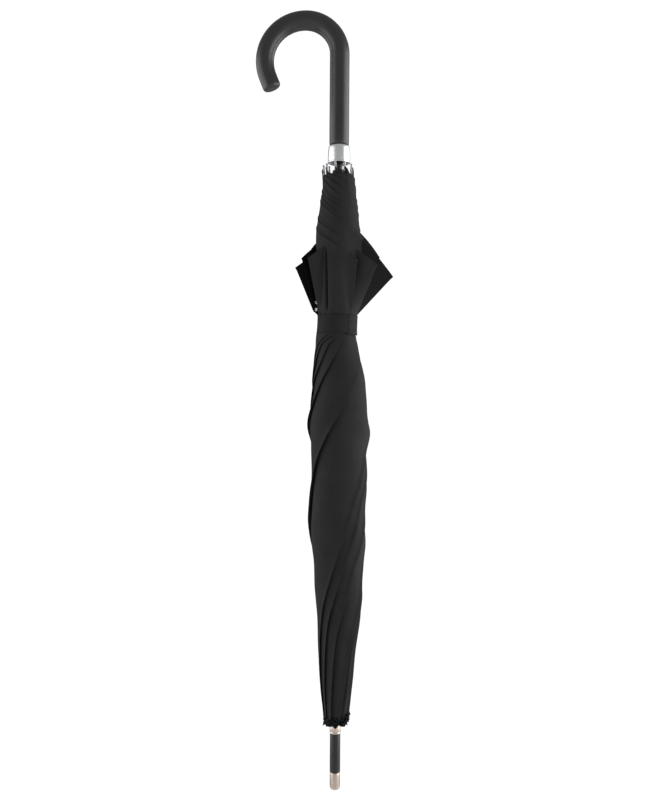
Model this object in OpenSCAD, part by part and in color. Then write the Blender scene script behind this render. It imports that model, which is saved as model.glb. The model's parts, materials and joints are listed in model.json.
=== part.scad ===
// Stick umbrella with eight ribs, a crook handle and a long metal ferrule.
// The closed umbrella stands along Z: the ferrule's end is at the origin and the handle is on top.
// The hook opens towards -X. Ribs stand at 22.5, 67.5, 112.5 ... degrees round the shaft.

/* [Shaft and ferrule] */
// Diameter of the steel shaft
shaft_d = 8; // [7:0.5:8]
// Wall of the steel shaft
shaft_wall = 0.8; // [0.6:0.1:1]
// Height of the top of the nickel end cap
end_cap_h = 20; // [16:1:26]
// Height of the top of the black ferrule tube
ferrule_h = 64.7; // [50:0.1:66]
// Diameter of the black ferrule tube
ferrule_d = 12; // [11:0.5:13]
// Height of the top of the nickel ring
ring_h = 74.5; // [72:0.1:75]
// Diameter of the nickel ring
ring_d = 13; // [12:0.5:14]

/* [Folding frame] */
// Number of ribs
ribs = 8; // [8]
// Height of the rib hinges in the crown
hinge_z = 92; // [91:1:93]
// Radius of the rib hinges, the stretcher rivets and the runner pivots
pivot_r = 7.8; // [7.8:0.1:8]
// Distance from rib hinge to stretcher rivet, and from rivet to runner pivot
link = 285; // [280:1:286]
// Radius at which the closed ribs stand
rib_seat_r = 13.2; // [13:0.1:13.3]
// Height of the closed rib tips
rib_top = 715; // [712:1:715]
// Angle of the inner ribs from the shaft when open
open_angle = 78; // [60:1:80]

/* [Handle] */
// Diameter of the crook handle
handle_d = 22.6; // [20:0.2:23]
// Height at which the handle starts
handle_z = 736; // [732:1:740]
// Height of the centre of the hook
hook_z = 836; // [820:1:850]
// Radius of the hook's centre line
hook_r = 43.5; // [38:0.5:48]
// Angle that the hook turns through
hook_turn = 200; // [180:5:210]
// Straight length after the hook
hook_tail = 11.5; // [5:0.5:20]
// Height of the metal cup over the rib tips
cup_h = 20; // [18:1:20]
// Outer radius of the cup's mouth
cup_r = 13; // [12.8:0.1:13.5]

/* [Canopy] */
// Height of the bottom of the furled cloth
cloth_z = 88.6; // [88.5:0.1:89]
// Height of the bottom edge of the tie strap
strap_z = 522; // [520:1:524]
// Width of the tie strap
strap_w = 20; // [18:1:22]
// Outer radius of the closed strap
strap_r = 22.4; // [22.3:0.1:23]
// How far each folded hem corner stands out, from the one at +X round to -X and the front
corner_reach = [62, 52, 40, 44, 48, 42, 36, 46];
// Heights of those hem corners
corner_z = [588, 600, 606, 600, 597, 602, 600, 598];

/* [Hidden] */
$fn = 48;
rib_step = 360 / ribs;
first_rib = rib_step / 2;
shaft_r = shaft_d / 2;
bore_r = shaft_r - shaft_wall;
fit_gap = 0.05;
slide_gap = 0.15;
shaft_low = 14.5;
shaft_top = 806;

pin_r = 0.7;
pin_hole_r = 0.8;
pin_half = 2.3;
eye_r = 1.6;
rib_t = 1.7;
link_t = 1.8;
slot_w = 2.2;
rivet_z = hinge_z + link;
runner_z = hinge_z + 2 * link;
rib_half = 1.1;
rod_r = 1;
rod_low = 379.5;
rod_high_r = 10.6;
tip_r = 1.4;
tip_l = 9;

crown_r = 9.4;
crown_low = 86.6;
crown_top = 98;
head_h = 14;
sleeve_r = 6.8;
sleeve_top = 708;
key_w = 2.4;
key_r = 5.9;
run = 2 * link * (1 - cos(open_angle));

catch_side = 90;
nose_r = 5.6;
nose_h = 7;
catch_t = 1.8;
top_catch_z = sleeve_top - run + 1.2;
low_catch_z = 694;
stop_z = runner_z - head_h / 2 - 1 - run - 2.6;
stop_r = 0.9;
handle_pin_z = 760;
handle_pin_r = 1.2;

cloth_split = 376.8;
wedge_gap = 0.6;
wing_t = 1.6;

// Outer radius of the furled cloth, from the crown to the hem, as [radius, height]
cloth_out = [[13.6, cloth_z], [15.3, 99], [17.2, 117], [19, 136], [23.3, 190], [27, 245], [31, 300],
    [31.5, 360], [34, 410], [30, 455], [24, 502], [21.2, strap_z - 1], [21.2, strap_z + strap_w + 1],
    [24, 560], [29, 600], [28, 630], [21, 665], [17.8, 703], [16, 706]];
// Inner radius of the furled cloth, which leaves room for the frame
cloth_in = [[10.6, cloth_z], [11.6, 98], [15.3, 122], [15.3, 400], [13.2, 706]];

function rib_angle(i) = first_rib + (i - 1) * rib_step;

// Radius on a [radius, height] outline at height z
function radius_at(line, z) = lookup(z, [for (p = line) [p[1], p[0]]]);

// The stretch of an outline between two heights, with its cut ends worked out
function outline_between(line, low, high) = concat(
    [[radius_at(line, low), low]],
    [for (p = line) if (p[1] > low + 0.5 && p[1] < high - 0.5) p],
    [[radius_at(line, high), high]]);

function reversed(list) = [for (k = [len(list) - 1 : -1 : 0]) list[k]];

// A flat piece of thickness t, drawn as [radius, height], that stands in the plane of its rib
module fin(t) {
    rotate([90, 0, 0])
        linear_extrude(t, center = true)
            children();
}

// A cylinder whose axis runs round the shaft, as every hinge pin does
module cross_pin(radius, z, r, half) {
    translate([radius, 0, z])
        rotate([90, 0, 0])
            cylinder(h = 2 * half, r = r, center = true);
}

// A tube round the shaft, from a [radius, height] outline
module turned(points) {
    rotate_extrude($fn = 96)
        polygon(points);
}

module shaft_tube() {
    color("#1c1c1e")
        difference() {
            translate([0, 0, shaft_low])
                cylinder(h = shaft_top - shaft_low, r = shaft_r);
            translate([0, 0, shaft_low - 1])
                cylinder(h = shaft_top - shaft_low + 2, r = bore_r);
            for (z = [top_catch_z, low_catch_z])
                rotate([0, 0, catch_side])
                    translate([1, -1.1, z - 0.6])
                        cube([shaft_r + 1, 2.2, nose_h + 1.2]);
            translate([0, 0, stop_z])
                rotate([0, 90, 0])
                    cylinder(h = 2 * shaft_r + 2, r = stop_r + fit_gap, center = true);
            cross_pin(0, handle_pin_z, handle_pin_r + fit_gap, shaft_r + 1);
        }
}

module runner_stop_pin() {
    color("#8d8d90")
        translate([0, 0, stop_z])
            rotate([0, 90, 0])
                cylinder(h = 2 * shaft_r + 1.6, r = stop_r, center = true);
}

// A latch behind a slot in the shaft: a leaf inside the bore with a sloping nose that stands out of the slot
module catch_piece(z) {
    color("#9a9a9c")
        rotate([0, 0, catch_side])
            fin(catch_t)
                polygon([[1, z - 6], [2.9, z - 6], [2.9, z], [nose_r, z], [nose_r, z + 2],
                    [2.9, z + nose_h], [2.9, z + 13], [1, z + 13]]);
}

module top_catch() {
    catch_piece(top_catch_z);
}

module bottom_catch() {
    catch_piece(low_catch_z);
}

module end_cap() {
    r = ferrule_d / 2;
    color("#b8aaa0")
        difference() {
            turned([[0, 0], [2.6, 0], [r - 0.7, 4], [r - 0.1, end_cap_h - 1.2], [r - 0.1, end_cap_h], [0, end_cap_h]]);
            translate([0, 0, shaft_low - 0.5])
                cylinder(h = end_cap_h, r = shaft_r + fit_gap);
        }
}

module ferrule_tube() {
    color("#202022")
        difference() {
            translate([0, 0, end_cap_h])
                cylinder(h = ferrule_h - end_cap_h, r = ferrule_d / 2);
            translate([0, 0, end_cap_h - 1])
                cylinder(h = ferrule_h, r = shaft_r + fit_gap);
        }
}

// Turned ring with three raised bands between two grooves
module ferrule_ring() {
    r = ring_d / 2;
    inner = shaft_r + fit_gap;
    h = ring_h - ferrule_h;
    color("#b8aaa0")
        translate([0, 0, ferrule_h])
            turned([[inner, 0], [r - 0.3, 0], [r, 0.3], [r, h * 0.22], [r - 0.5, h * 0.28], [r, h * 0.36],
                [r, h * 0.62], [r - 0.5, h * 0.7], [r, h * 0.78], [r, h - 0.3], [r - 0.3, h], [inner, h]]);
}

module crown_rosette() {
    color("#222224")
        turned([[shaft_r + 0.1, ring_h + 0.6], [12.5, ring_h + 0.5], [14.8, ring_h + 4], [13, cloth_z - 0.4],
            [10.6, cloth_z - 0.4], [10.2, crown_low - 0.4], [shaft_r + 0.1, crown_low - 0.4]]);
}

// Radial slots in which the ribs or the stretchers swing
module pivot_slots(low, high, from_r) {
    for (i = [1 : ribs])
        rotate([0, 0, rib_angle(i)])
            translate([from_r, -slot_w / 2, low])
                cube([12, slot_w, high - low]);
}

module pivot_pins(z, r) {
    for (i = [1 : ribs])
        rotate([0, 0, rib_angle(i)])
            cross_pin(pivot_r, z, r, pin_half);
}

module crown_notch() {
    color("#2a2a2c")
        difference() {
            turned([[shaft_r + fit_gap, crown_low], [crown_r, crown_low], [crown_r, crown_top - 1],
                [crown_r - 1, crown_top], [shaft_r + fit_gap, crown_top]]);
            pivot_slots(crown_low - 1, crown_top + 1, 6);
            pivot_pins(hinge_z, pin_r + 0.02);
        }
}

module crown_pins() {
    color("#a0a0a2")
        pivot_pins(hinge_z, pin_r);
}

module runner_sleeve() {
    low = runner_z - head_h / 2 - 1;
    inner = shaft_r + slide_gap;
    color("#2a2a2c")
        difference() {
            turned([[inner, low], [crown_r, low], [crown_r, low + head_h - 1], [crown_r - 1, low + head_h],
                [sleeve_r, low + head_h], [sleeve_r, sleeve_top - 3], [sleeve_r + 0.6, sleeve_top - 3],
                [sleeve_r + 0.6, sleeve_top - 0.6], [sleeve_r, sleeve_top], [inner, sleeve_top]]);
            pivot_slots(low - 1, low + head_h + 1, 6);
            pivot_pins(runner_z, pin_r + 0.02);
            rotate([0, 0, catch_side])
                translate([0, -key_w / 2, low - 1])
                    cube([key_r, key_w, sleeve_top - low + 2]);
        }
}

module runner_pins() {
    color("#a0a0a2")
        pivot_pins(runner_z, pin_r);
}

// Inner rib: an eye on the crown's pin, an arm, a fluted bar, and a riveted fork for the stretcher
module rib(i) {
    outer = rib_seat_r + rib_half;
    inner = rib_seat_r - rib_half;
    ear_t = 0.6;
    ear_y = link_t / 2 + 0.1 + ear_t / 2;
    color("#b4b4b6")
        rotate([0, 0, rib_angle(i)]) {
            difference() {
                union() {
                    cross_pin(pivot_r, hinge_z, eye_r, rib_t / 2);
                    fin(rib_t)
                        polygon([[pivot_r - 1.4, hinge_z + 0.6], [pivot_r + 1.4, hinge_z - 0.6],
                            [outer, hinge_z + 30], [outer, rivet_z + 1.6], [inner, rivet_z + 1.6],
                            [inner, hinge_z + 32]]);
                }
                cross_pin(pivot_r, hinge_z, pin_hole_r, rib_t);
                translate([inner - 1, -0.5, hinge_z + 40])
                    cube([2, 1, link - 48]);
            }
            for (side = [-1, 1])
                translate([0, side * ear_y, 0])
                    fin(ear_t)
                        polygon([[pivot_r - 1.2, rivet_z - 1], [pivot_r + 0.4, rivet_z - 1.6],
                            [outer, rivet_z - 12], [outer, rivet_z + 1.6], [pivot_r - 0.4, rivet_z + 1.5]]);
            for (side = [-1, 1])
                translate([rib_seat_r, side * (rib_t / 2 + 0.05), rivet_z - 5])
                    cube([2 * rib_half, 0.3, 12], center = true);
            cross_pin(pivot_r, rivet_z, pin_r, ear_y + ear_t / 2);
        }
}

// Outer rib: a thin rod that runs from the rivet to the hem, with a metal tip
module rib_rod(i) {
    run_z = rib_top - tip_l - rod_low;
    lean = atan((rib_seat_r - rod_high_r) / run_z);
    rod_l = run_z / cos(lean);
    rotate([0, 0, rib_angle(i)])
        translate([rib_seat_r, 0, rod_low])
            rotate([0, -lean, 0]) {
                color("#b4b4b6")
                    cylinder(h = rod_l, r = rod_r);
                color("#d0d0d2")
                    translate([0, 0, rod_l]) {
                        cylinder(h = tip_l - tip_r, r = tip_r);
                        translate([0, 0, tip_l - tip_r - 0.05])
                            sphere(r = tip_r);
                    }
            }
}

// Stretcher: a bar between the rib's rivet and the runner's pivot, with an eye at each end
module stretcher(i) {
    color("#b4b4b6")
        rotate([0, 0, rib_angle(i)])
            difference() {
                union() {
                    cross_pin(pivot_r, rivet_z, eye_r, link_t / 2);
                    cross_pin(pivot_r, runner_z, eye_r, link_t / 2);
                    fin(link_t)
                        polygon([[pivot_r - 1, rivet_z], [pivot_r + 1, rivet_z],
                            [pivot_r + 1, runner_z], [pivot_r - 1, runner_z]]);
                }
                cross_pin(pivot_r, rivet_z, pin_hole_r, link_t);
                cross_pin(pivot_r, runner_z, pin_hole_r, link_t);
            }
}

// One eighth of the furled cloth between two heights
module cloth_wedge(i, low, high) {
    outline = concat(outline_between(cloth_in, low, high), reversed(outline_between(cloth_out, low, high)));
    rotate([0, 0, rib_angle(i) + wedge_gap / 2])
        rotate_extrude(angle = rib_step - wedge_gap)
            polygon(outline);
}

module canopy_upper(i) {
    color("#252527")
        cloth_wedge(i, cloth_z, cloth_split);
}

// The hem end of each eighth, with the folded corner that stands out above the strap
module canopy_lower(i) {
    side = i % ribs;
    color("#252527")
        union() {
            cloth_wedge(i, cloth_split + 0.6, 706);
            rotate([0, 0, rib_angle(i) + rib_step / 2])
                fin(wing_t)
                    polygon([[18, 552], [corner_reach[side], corner_z[side]], [18, 648]]);
        }
}

module tie_strap() {
    color("#1d1d1f")
        difference() {
            translate([0, 0, strap_z])
                cylinder(h = strap_w, r = strap_r);
            translate([0, 0, strap_z - 1])
                cylinder(h = strap_w + 2, r = strap_r - 0.9);
        }
}

// Two press studs on the folded hem, just above the strap at the left
module strap_studs() {
    color("#c8c8ca")
        for (z = [549, 557])
            translate([-26.5, -4, z])
                rotate([90, 0, 0])
                    difference() {
                        cylinder(h = 1.4, r = 2.2);
                        translate([0, 0, 0.6])
                            cylinder(h = 1.4, r = 1.1);
                    }
}

// Metal cup that covers the rib tips, open towards the ferrule
module rib_tip_cup() {
    low = handle_z - cup_h;
    color("#c9c9cb")
        turned([[cup_r - 0.3, low], [cup_r, low + 0.5], [cup_r - 0.8, low + 4], [cup_r - 0.9, handle_z - 1],
            [cup_r - 1.9, handle_z], [shaft_r + fit_gap, handle_z], [shaft_r + fit_gap, handle_z - 3],
            [cup_r - 1.9, handle_z - 3], [cup_r - 1.6, low + 4], [cup_r - 0.9, low]]);
}

module crook_handle() {
    r = handle_d / 2;
    end_x = -hook_r + hook_r * cos(hook_turn);
    end_z = hook_z + hook_r * sin(hook_turn);
    color("#2b2b2d")
        difference() {
            union() {
                translate([0, 0, handle_z])
                    cylinder(h = hook_z - handle_z, r = r);
                translate([-hook_r, 0, hook_z])
                    rotate([90, 0, 0])
                        rotate_extrude(angle = hook_turn)
                            translate([hook_r, 0])
                                circle(r = r);
                translate([end_x, 0, end_z])
                    rotate([0, 360 - hook_turn, 0]) {
                        cylinder(h = hook_tail, r = r);
                        translate([0, 0, hook_tail])
                            sphere(r = r);
                    }
            }
            translate([0, 0, handle_z - 1])
                cylinder(h = shaft_top - handle_z + 2, r = shaft_r + fit_gap);
            cross_pin(0, handle_pin_z, handle_pin_r + fit_gap, r + 1);
        }
}

module handle_pin() {
    color("#8d8d90")
        cross_pin(0, handle_pin_z, handle_pin_r, handle_d / 2 - 0.6);
}

shaft_tube();
crook_handle();
handle_pin();
rib_tip_cup();
end_cap();
ferrule_tube();
ferrule_ring();
crown_rosette();
crown_notch();
crown_pins();
runner_stop_pin();
top_catch();
bottom_catch();
runner_sleeve();
runner_pins();
tie_strap();
strap_studs();
for (i = [1 : ribs]) {
    rib(i);
    rib_rod(i);
    stretcher(i);
    canopy_upper(i);
    canopy_lower(i);
}
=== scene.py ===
import json
import math

import bpy
import numpy as np
from mathutils import Matrix, Vector

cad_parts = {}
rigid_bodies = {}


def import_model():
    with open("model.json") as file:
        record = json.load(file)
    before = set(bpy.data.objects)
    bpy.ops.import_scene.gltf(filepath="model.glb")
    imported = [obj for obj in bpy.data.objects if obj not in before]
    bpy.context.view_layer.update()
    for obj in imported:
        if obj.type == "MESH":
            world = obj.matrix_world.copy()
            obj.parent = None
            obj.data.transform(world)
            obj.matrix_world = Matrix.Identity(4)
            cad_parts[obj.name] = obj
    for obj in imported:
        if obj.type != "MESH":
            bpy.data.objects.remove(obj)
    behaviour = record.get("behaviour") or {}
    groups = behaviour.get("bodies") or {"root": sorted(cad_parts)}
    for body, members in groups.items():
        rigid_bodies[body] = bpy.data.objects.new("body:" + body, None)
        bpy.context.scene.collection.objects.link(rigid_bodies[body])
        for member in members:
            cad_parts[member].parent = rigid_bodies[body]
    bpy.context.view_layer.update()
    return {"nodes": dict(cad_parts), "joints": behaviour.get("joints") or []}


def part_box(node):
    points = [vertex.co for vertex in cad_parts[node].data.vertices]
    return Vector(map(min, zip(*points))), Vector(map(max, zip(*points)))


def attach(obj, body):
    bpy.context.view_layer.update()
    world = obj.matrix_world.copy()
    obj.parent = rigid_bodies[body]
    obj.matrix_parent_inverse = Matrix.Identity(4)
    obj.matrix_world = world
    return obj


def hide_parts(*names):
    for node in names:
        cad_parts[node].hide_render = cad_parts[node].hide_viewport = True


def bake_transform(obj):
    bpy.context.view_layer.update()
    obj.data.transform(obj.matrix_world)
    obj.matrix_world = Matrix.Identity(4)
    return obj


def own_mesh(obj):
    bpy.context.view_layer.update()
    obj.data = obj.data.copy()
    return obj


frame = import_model()

# Lengths are in metres and angles in degrees. "Bearing" is the angle round the shaft seen from the
# handle: 0 faces the camera (-Y) and 90 is the right side (+X). The cloth winds towards growing bearings.
MM = 0.001
PANELS = 8
RIB_STEP = 360 / PANELS
CLOTH_T = 0.16 * MM


# ---------------------------------------------------------------- sizes taken from the CAD

def span(node):
    """The lowest and highest corner of a CAD node's box."""
    return tuple(np.array(v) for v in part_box(node))


cup_lo, cup_hi = span("rib_tip_cup")
handle_lo, handle_hi = span("crook_handle")
strap_lo, strap_hi = span("tie_strap")
studs_lo, studs_hi = span("strap_studs")
ring_lo, ring_hi = span("ferrule_ring")
tube_lo, tube_hi = span("ferrule_tube")
cap_lo, cap_hi = span("end_cap")
frill_lo, frill_hi = span("crown_rosette")
joints = {j["name"]: j for j in frame["joints"]}
hinge_z = joints["canopy_open"]["pos_m"][2]
hinge_r = math.hypot(*joints["canopy_open"]["pos_m"][:2])
rivet_z = joints["rib_1_flex"]["pos_m"][2]
rib_r = math.hypot(*joints["rib_1_flex"]["pos_m"][:2])
tip_z = span("rib_rod_1")[1][2]
hem_z = tip_z - 9 * MM
strap_top = strap_hi[2]
crown_z = frill_hi[2] - 4 * MM
rod_end_r = 10.6 * MM  # the ribs' distance from the shaft's middle at the hem
crown_r = span("crown_notch")[1][0]


# ---------------------------------------------------------------- small maths

def smooth(t):
    t = np.clip(t, 0, 1)
    return t * t * (3 - 2 * t)


def stations(z, *pairs):
    """A smooth curve through (height in mm, value) pairs, read at z in metres."""
    zs, vs = np.array(pairs, float).T
    z = np.clip(np.asarray(z, float) / MM, zs[0], zs[-1])
    slope = np.gradient(vs, zs)
    i = np.clip(np.searchsorted(zs, z) - 1, 0, len(zs) - 2)
    h = zs[i + 1] - zs[i]
    t = (z - zs[i]) / h
    return ((2 * t**3 - 3 * t**2 + 1) * vs[i] + (t**3 - 2 * t**2 + t) * h * slope[i]
            + (3 * t**2 - 2 * t**3) * vs[i + 1] + (t**3 - t**2) * h * slope[i + 1])


def around(bearing, radius, z):
    """Points at a bearing and radius round the shaft, at height z."""
    b = np.radians(bearing)
    return np.stack(np.broadcast_arrays(radius * np.sin(b), -radius * np.cos(b), z), axis=-1)


def rotation(axis, degrees):
    return np.array(Matrix.Rotation(math.radians(degrees), 4, Vector(axis)))


def ripples(bearing, z, seed, turns, per_metre):
    """Soft ripples of size about 1 on a cylinder, the same each time: up to so many round it and along it."""
    rng = np.random.default_rng(seed)
    total, terms = 0, 5
    for k in range(terms):
        n, m, p = rng.integers(turns // 2, turns + 1), rng.uniform(-1, 1) * per_metre, rng.uniform(0, 6.3)
        total = total + np.sin(n * np.radians(bearing) + 2 * np.pi * m * z + p) / (1 + 0.3 * k)
    return total / terms**0.5


# ---------------------------------------------------------------- mesh builders

def make_object(name, verts, faces, uvs):
    mesh = bpy.data.meshes.new(name)
    mesh.from_pydata([tuple(v) for v in np.asarray(verts, float)], [], faces)
    mesh.uv_layers.new(name="UVMap").data.foreach_set("uv", np.asarray(uvs, np.float32).ravel())
    mesh.polygons.foreach_set("use_smooth", [True] * len(mesh.polygons))
    mesh.update()
    o = bpy.data.objects.new(name, mesh)
    bpy.context.scene.collection.objects.link(o)
    return o


def rings_mesh(name, rings, sharp=None):
    """A closed skin over a row of rings. A ring of one point closes that end."""
    verts, faces, uvs, start, heights = [], [], [], [], [0.0]
    for r in rings:
        start.append(len(verts))
        verts.extend(r)
    for k, (a, b) in enumerate(zip(rings, rings[1:])):
        step = np.linalg.norm(b.mean(0) - a.mean(0)) + abs(np.ptp(a[:, 0]) - np.ptp(b[:, 0])) / 2
        heights.append(heights[-1] + float(step))
        full = a if len(a) >= len(b) else b
        n = len(full)
        girth = float(np.linalg.norm(full - np.roll(full, 1, axis=0), axis=1).sum())
        for i in range(n):
            j = (i + 1) % n
            u0, u1 = girth * i / n, girth * (i + 1) / n
            quad, uv = [], []
            for ring, q, u in ((k, i, u0), (k, j, u1), (k + 1, j, u1), (k + 1, i, u0)):
                idx = start[ring] + (q if len(rings[ring]) > 1 else 0)
                if idx not in quad:
                    quad.append(idx)
                    uv.append((u, heights[ring]))
            faces.append(quad)
            uvs.extend(uv)
    o = make_object(name, verts, faces, uvs)
    if sharp:
        o.data.set_sharp_from_angle(angle=math.radians(sharp))
    return o


def circle(count):
    """The points of a circle of radius 1."""
    angle = np.linspace(0, 2 * np.pi, count, endpoint=False)
    return np.stack([np.cos(angle), np.sin(angle)], axis=1)


def level_ring(radius, z, count):
    """A ring of points at one height. The radius is one number, or one for each point."""
    return np.column_stack([np.reshape(radius, (-1, 1)) * circle(count), np.full(count, z)])


def lathe(name, profile, segments=64, sharp=35):
    """Turns (radius, height) points round the Z axis."""
    rings = [level_ring(r, z, segments) if r > 0 else np.array([[0, 0, z]]) for r, z in profile]
    return rings_mesh(name, rings, sharp)


def rounded(profile, radius, steps=5):
    """Rounds the corners of a (radius, height) profile; a corner may give its own radius as a third value."""
    out = []
    for k, p in enumerate(profile):
        own = p[2] if len(p) > 2 else radius
        if k in (0, len(profile) - 1):
            out.append(p[:2])
            continue
        here, before, after = (np.array(q[:2], float) for q in (p, profile[k - 1], profile[k + 1]))
        a, b = before - here, after - here
        cut = min(own, np.linalg.norm(a) * 0.49, np.linalg.norm(b) * 0.49)
        a, b = here + a / np.linalg.norm(a) * cut, here + b / np.linalg.norm(b) * cut
        for t in np.linspace(0, 1, steps):
            out.append(tuple((1 - t)**2 * a + 2 * t * (1 - t) * here + t * t * b))
    return out


def shell_points(p, thickness):
    """Both faces of a grid of points, as two grids."""
    n = np.cross(np.gradient(p, axis=1), np.gradient(p, axis=0))
    n /= np.maximum(np.linalg.norm(n, axis=2, keepdims=True), 1e-12)
    return p + n * thickness / 2, p - n * thickness / 2


def shell_mesh(name, front, back, uv, inside=None):
    """A closed thin sheet from its two faces, which are grids of the same size. inside marks, for each face,
    the quads that take the darker inside cloth, whose darkness is painted shade."""
    rows, cols = front.shape[:2]
    count = rows * cols
    idx = np.arange(count).reshape(rows, cols)
    quads = np.stack([idx[:-1, :-1], idx[:-1, 1:], idx[1:, 1:], idx[1:, :-1]], axis=-1).reshape(-1, 4)
    rim = np.concatenate([idx[0, :-1], idx[:-1, -1], idx[-1, :0:-1], idx[:0:-1, 0]])
    after = np.roll(rim, -1)
    edge = np.stack([rim, rim + count, after + count, after], axis=-1)
    faces = np.concatenate([quads, (quads + count)[:, ::-1], edge])
    flat_uv = np.concatenate([uv.reshape(-1, 2)] * 2)
    verts = np.concatenate([front.reshape(-1, 3), back.reshape(-1, 3)])
    sheet = make_object(name, verts, faces.tolist(), flat_uv[faces.ravel()])
    if inside is not None:
        which = np.zeros(len(faces), np.int32)
        which[:2 * len(quads)] = np.concatenate([part.ravel() for part in inside])
        # the second slot is the darker inside cloth, whose darkness is painted shade
        sheet.data.materials.append(CLOTH)
        sheet.data.materials.append(INSIDE_PAINTED_SHADE)
        sheet.data.polygons.foreach_set("material_index", which)
    return sheet


def metric_uv(p):
    """UVs in metres along the rows and columns of a grid of points."""
    du = np.linalg.norm(np.diff(p, axis=1), axis=2)
    dv = np.linalg.norm(np.diff(p, axis=0), axis=2)
    u = np.concatenate([np.zeros((p.shape[0], 1)), np.cumsum(du, axis=1)], axis=1)
    v = np.concatenate([np.zeros((1, p.shape[1])), np.cumsum(dv, axis=0)], axis=0)
    return np.stack([u, v], axis=-1)


def sweep(name, path, section_at, up=(0, 1, 0), sharp=None):
    """Moves a section, (across, outwards) points, along a path. section_at(k) gives the k-th section."""
    path = np.asarray(path, float)
    tangent = np.gradient(path, axis=0)
    tangent /= np.linalg.norm(tangent, axis=1, keepdims=True)
    rings = []
    for k, (p, t) in enumerate(zip(path, tangent)):
        out = np.cross(np.asarray(up, float), t)
        out /= np.linalg.norm(out)
        side = np.cross(t, out)
        s = np.asarray(section_at(k), float)
        rings.append(p + s[:, :1] * side + s[:, 1:] * out)
    ends = [ring.mean(0, keepdims=True) for ring in (rings[0], rings[-1])]
    return rings_mesh(name, [ends[0], *rings, ends[1]], sharp)


# ---------------------------------------------------------------- materials

def new_material(name, colour, rough, metal=0.0, **sockets):
    m = bpy.data.materials.new(name)
    m.use_nodes = True
    b = m.node_tree.nodes["Principled BSDF"]
    b.inputs["Base Color"].default_value = (*colour, 1)
    b.inputs["Roughness"].default_value = rough
    b.inputs["Metallic"].default_value = metal
    for key, value in sockets.items():
        b.inputs[key.replace("_", " ")].default_value = value
    return m, m.node_tree, b


def node(tree, kind, inputs=(), **props):
    n = tree.nodes.new(kind)
    for key, value in props.items():
        setattr(n, key, value)
    for key, value in dict(inputs).items():
        if hasattr(value, "is_linked"):
            tree.links.new(value, n.inputs[key])
        else:
            n.inputs[key].default_value = value
    return n


def ramp(tree, fac, low, high, low_colour, high_colour):
    r = node(tree, "ShaderNodeValToRGB", {"Fac": fac})
    r.color_ramp.elements[0].position, r.color_ramp.elements[1].position = low, high
    r.color_ramp.elements[0].color = (*low_colour, 1)
    r.color_ramp.elements[1].color = (*high_colour, 1)
    return r.outputs["Color"]


def coords(tree, kind):
    return node(tree, "ShaderNodeTexCoord").outputs[kind]


def noise(tree, vector, scale, detail):
    given = {"Vector": vector, "Scale": scale, "Detail": detail, "Roughness": 0.5}
    return node(tree, "ShaderNodeTexNoise", given).outputs["Fac"]


def bump(tree, height, strength, distance, normal=None):
    given = {"Height": height, "Strength": strength, "Distance": distance}
    if normal is not None:
        given["Normal"] = normal
    return node(tree, "ShaderNodeBump", given).outputs["Normal"]


BROAD_PER_FINE = 0.06
WAVES_PER_SCALE = 20 / (2 * math.pi)  # waves in a metre of UV, in a wave texture of scale 1


def grained(name, colour, other, rough, rough_spread, metal, scale, depth, stretch=(1, 1, 1), **sockets):
    """A plain finish with fine grain in its colour, gloss and surface."""
    m, tree, b = new_material(name, colour, rough, metal, **sockets)
    place = node(tree, "ShaderNodeMapping", {"Vector": coords(tree, "Object"), "Scale": stretch})
    fine = noise(tree, place.outputs["Vector"], scale, 4.0)
    broad = noise(tree, place.outputs["Vector"], scale * BROAD_PER_FINE, 2.0)
    tree.links.new(ramp(tree, broad, 0.3, 0.7, colour, other), b.inputs["Base Color"])
    lift = node(tree, "ShaderNodeMapRange", {"Value": fine, "From Min": 0.25, "From Max": 0.75,
                                             "To Min": rough - rough_spread, "To Max": rough + rough_spread})
    tree.links.new(lift.outputs["Result"], b.inputs["Roughness"])
    tree.links.new(bump(tree, fine, 0.5, depth), b.inputs["Normal"])
    return m


def cloth_material(name, colour, lit, thread=0.42 * MM, gloss=1.0):
    """Close plain weave with a soft sheen. The threads run along the piece's UVs, which are in metres."""
    m, tree, b = new_material(name, colour, 0.72)
    uv = coords(tree, "UV")
    scale = 1 / (WAVES_PER_SCALE * thread)
    warp, weft = (node(tree, "ShaderNodeTexWave", {"Vector": uv, "Scale": scale, "Distortion": 0.4},
                       wave_type="BANDS", bands_direction=along).outputs["Fac"] for along in "XY")
    weave = node(tree, "ShaderNodeMath", {0: warp, 1: weft}, operation="MULTIPLY").outputs["Value"]
    mottle = noise(tree, coords(tree, "Object"), 60.0, 4.0)
    tree.links.new(ramp(tree, mottle, 0.25, 0.75, colour, lit), b.inputs["Base Color"])
    soft = noise(tree, coords(tree, "Object"), 90.0, 3.0)
    first = bump(tree, soft, 0.35, 0.7 * MM)
    tree.links.new(bump(tree, weave, 0.35, 0.05 * MM, first), b.inputs["Normal"])
    b.inputs["Sheen Weight"].default_value = 0.02 * gloss
    b.inputs["Sheen Roughness"].default_value = 0.4
    b.inputs["Sheen Tint"].default_value = (0.8, 0.85, 1.0, 1)
    b.inputs["Specular IOR Level"].default_value = 0.06 * gloss
    return m


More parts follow.
